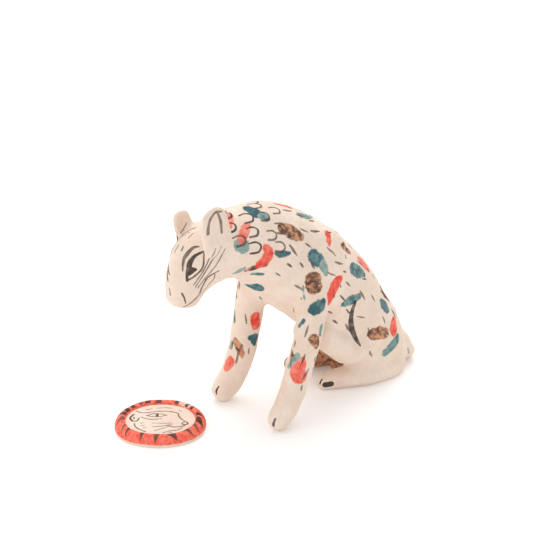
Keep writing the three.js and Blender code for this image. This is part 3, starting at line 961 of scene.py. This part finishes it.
# Angle in degrees round the dish, half width, how far it leans as it runs out, and load.
wedges = [
    (167, 1.2, 2, 0.7), (-179, 1.1, 14, 0.5), (-154, 0.6, 12, 0.4), (-138, 0.9, 3, 0.6), (-113, 0.9, 1, 0.6),
    (-91, 1.3, -2, 0.5), (-71, 1.6, 6, 0.6), (-46, 1.0, 4, 0.6), (-25, 0.9, -6, 0.5), (-7, 1.9, -11, 0.9),
    (11, 1.1, -9, 0.8), (36, 0.9, 3, 0.6), (48, 0.8, -2, 0.7), (67, 0.9, 2, 0.7), (96, 1.2, -1, 0.6),
    (113, 1.1, -4, 0.6), (125, 0.7, -4, 0.4), (141, 1.0, -4, 0.7), (155, 1.2, -5, 0.8),
]
dish_strokes = []
for angle, half, lean, load in wedges:
    points = []
    for share in (0, 0.35, 0.7, 1):
        turn = math.radians(angle + lean * share)
        radius = 21.8 + 5 * share
        lift = 7 - 4 * share**2
        place = on_dish(radius * math.cos(turn), dish_oval * radius * math.sin(turn), lift)
        points.append((*place, 1.45 * half * (1 - share) ** 0.8 + 0.15))
    dish_strokes.append(("ink", load, points))
faded = []
for angle, radius, half in ((36, 23.5, 0.8), (46, 22.5, 1.8), (56, 22.5, 2), (64, 22.8, 1)):
    turn = math.radians(angle)
    faded.append((*on_dish(radius * math.cos(turn), dish_oval * radius * math.sin(turn), 6.8), half))
dish_strokes.insert(0, ("bare", 0.3, faded))

# The face: brows, half-closed eyes, nose, muzzle and ears. Each line is its half width and load, then
# its points in mm along and across the dish.
face_lines = [
    (0.35, 0.5, (-15, 10.5), (-12, 8.6), (-7, 8.8), (-1, 10.2), (5, 10), (10, 7.8)),
    (0.3, 0.6, (-8.5, 5), (-5, 6.9), (-0.5, 7), (3.4, 5)),
    (0.28, 0.5, (-8.5, 5), (-4.5, 3.7), (0, 3.7), (3.4, 5)),
    (0.65, 0.9, (-2.2, 6.3), (-2.2, 4.4)),
    (0.3, 0.6, (-11.5, 3), (-8, 1), (-4, 0.3), (0.5, 0.9)),
    (0.32, 0.6, (10, 7.8), (10.8, 3.8), (12.8, 0.4), (15, -2.2)),
    (0.35, 0.8, (15, -2.2), (16.6, -4), (15.2, -6), (13, -5)),
    (0.28, 0.5, (13, -5), (13.6, -3.2), (15, -2.2)),
    (0.3, 0.7, (15.2, -6), (12.6, -8.4), (8.6, -8.8), (4.6, -7)),
    (0.28, 0.5, (13.4, -9.8), (10.6, -12.4), (6, -13)),
    (0.25, 0.5, (7, -4), (2, -4.6), (-4.5, -4.2)),
    (0.25, 0.5, (7.4, -5.4), (2, -7.6), (-4, -8.8)),
    (0.25, 0.5, (6.6, -7), (2.6, -10), (-2.6, -13)),
    (0.45, 0.8, (-16.4, 6.4), (-18, 2.4), (-16.4, -1.6)),
    (0.35, 0.7, (-16.4, -1.6), (-13.8, -1.4), (-12.8, 2)),
    (0.25, 0.4, (-16, 3.4), (-15.6, 0.8)),
    (0.35, 0.6, (-15, -4.6), (-14.2, -8), (-11.4, -11.6), (-7.6, -14.4)),
    (0.25, 0.3, (-11.4, -4), (-9.4, -3.8)),
    (0.25, 0.3, (-11, -6.8), (-9, -6.4)),
    (0.25, 0.2, (-9.6, -9.8), (-7.8, -9)),
    (0.28, 0.4, (2.4, -15.6), (4.6, -14.4), (7.6, -15)),
    (0.25, 0.3, (-3, 14), (1.6, 14.8), (6, 14)),
    (0.25, 0.3, (-9.4, 12.2), (-6, 13)),
    (0.25, 0.2, (9.6, 11.6), (12, 10)),
]
for half, load, *line in face_lines:
    dish_strokes.append(("ink", load, [(*on_dish(u, v, slab_top), half * 1.3) for u, v in line]))

for piece, node, slot in ((slab, "dish_slab", "dish_clay"), (rim, "dish_rim", "rim_paint")):
    piece.data.shade_smooth()
    piece.data.set_sharp_from_angle(angle=math.radians(60))
    bpy.context.view_layer.update()
    surface = BVHTree.FromObject(piece, bpy.context.evaluated_depsgraph_get())
    drawn = dish_strokes[: len(wedges) + 1] if piece is rim else dish_strokes[len(wedges) + 1 :]
    brushes = ("bare", "ink") if piece is rim else ("ink",)
    brush_on(piece, [(colour, load, *laid_on(surface, points)) for colour, load, points in drawn], brushes)
    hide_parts(node)
    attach(piece, "dish")


def coral_rim(tree):
    """Coral over the coil, streaky and thin in places, with a strip of bare clay along its foot."""
    clay_tone = bare_clay(tree)
    load = ramp(tree, grain(tree, 520, 5.0), 0.25, 0.72)
    coral = blended(tree, load, (0.93, 0.26, 0.18), (0.86, 0.09, 0.055))
    height = shade_node(tree, "SeparateXYZ", {0: shade_node(tree, "TexCoord").outputs["Object"]}).outputs["Z"]
    wave = sums(tree, "SUBTRACT", grain(tree, 180, 2.0), 0.5)
    wavy = sums(tree, "ADD", height, sums(tree, "MULTIPLY", wave, 0.0012))
    return blended(tree, ramp(tree, wavy, 0.0015, 0.0019), clay_tone, coral)


slab.data.materials.append(clay_finish("drawn_clay", ("ink",)))
rim.data.materials.append(clay_finish("coral_coil", ("bare", "ink"), coral_rim))

# ---- table, light and camera ----------------------------------------------------------------------
# A white sweep of paper, soft light from all round, and a large soft window from the upper right.
bpy.ops.mesh.primitive_plane_add(size=8)
table = bpy.context.object
table.name = "table"
paper = bpy.data.materials.new("table_white")
paper.use_nodes = True
paper_look = {
    "Base Color": (0.95, 0.945, 0.942, 1),
    "Roughness": 1,
    "Specular IOR Level": 0,
    "Emission Color": (1, 0.985, 0.98, 1),
    "Emission Strength": 0.1,
}
for name, value in paper_look.items():
    paper.node_tree.nodes["Principled BSDF"].inputs[name].default_value = value
table.data.materials.append(paper)

world = bpy.data.worlds.new("studio")
world.use_nodes = True
world.node_tree.nodes["Background"].inputs["Color"].default_value = (1, 1, 1, 1)
world.node_tree.nodes["Background"].inputs["Strength"].default_value = 0.84
bpy.context.scene.world = world
bpy.context.scene.view_settings.view_transform = "Standard"


def soft_box(name, place, aim, size, power):
    """A square light in a place in m, turned to face a point, of a size in m and a power in W."""
    data = bpy.data.lights.new(name, "AREA")
    data.size = size
    data.energy = power
    light = bpy.data.objects.new(name, data)
    light.location = place
    light.rotation_euler = (Vector(aim) - Vector(place)).to_track_quat("-Z", "Y").to_euler()
    bpy.context.scene.collection.objects.link(light)


soft_box("window", (-0.65, 0.55, 1.5), (0, -0.05, 0.05), 1.5, 17)
soft_box("reflector", (-0.3, -1.4, 0.6), (0, -0.05, 0.05), 1.2, 3.6)

AZIMUTH, ELEVATION, DISTANCE = math.radians(50), math.radians(23), 0.85
aim = Vector((-0.015, -0.064, 0.083))
away = Vector(
    (
        math.sin(AZIMUTH) * math.cos(ELEVATION),
        -math.cos(AZIMUTH) * math.cos(ELEVATION),
        math.sin(ELEVATION),
    )
)
camera_data = bpy.data.cameras.new("camera")
camera_data.sensor_width = 36
camera_data.lens = 95.69
camera = bpy.data.objects.new("camera", camera_data)
camera.location = aim + away * DISTANCE
camera.rotation_euler = (-away).to_track_quat("-Z", "Y").to_euler()
bpy.context.scene.collection.objects.link(camera)
bpy.context.scene.camera = camera
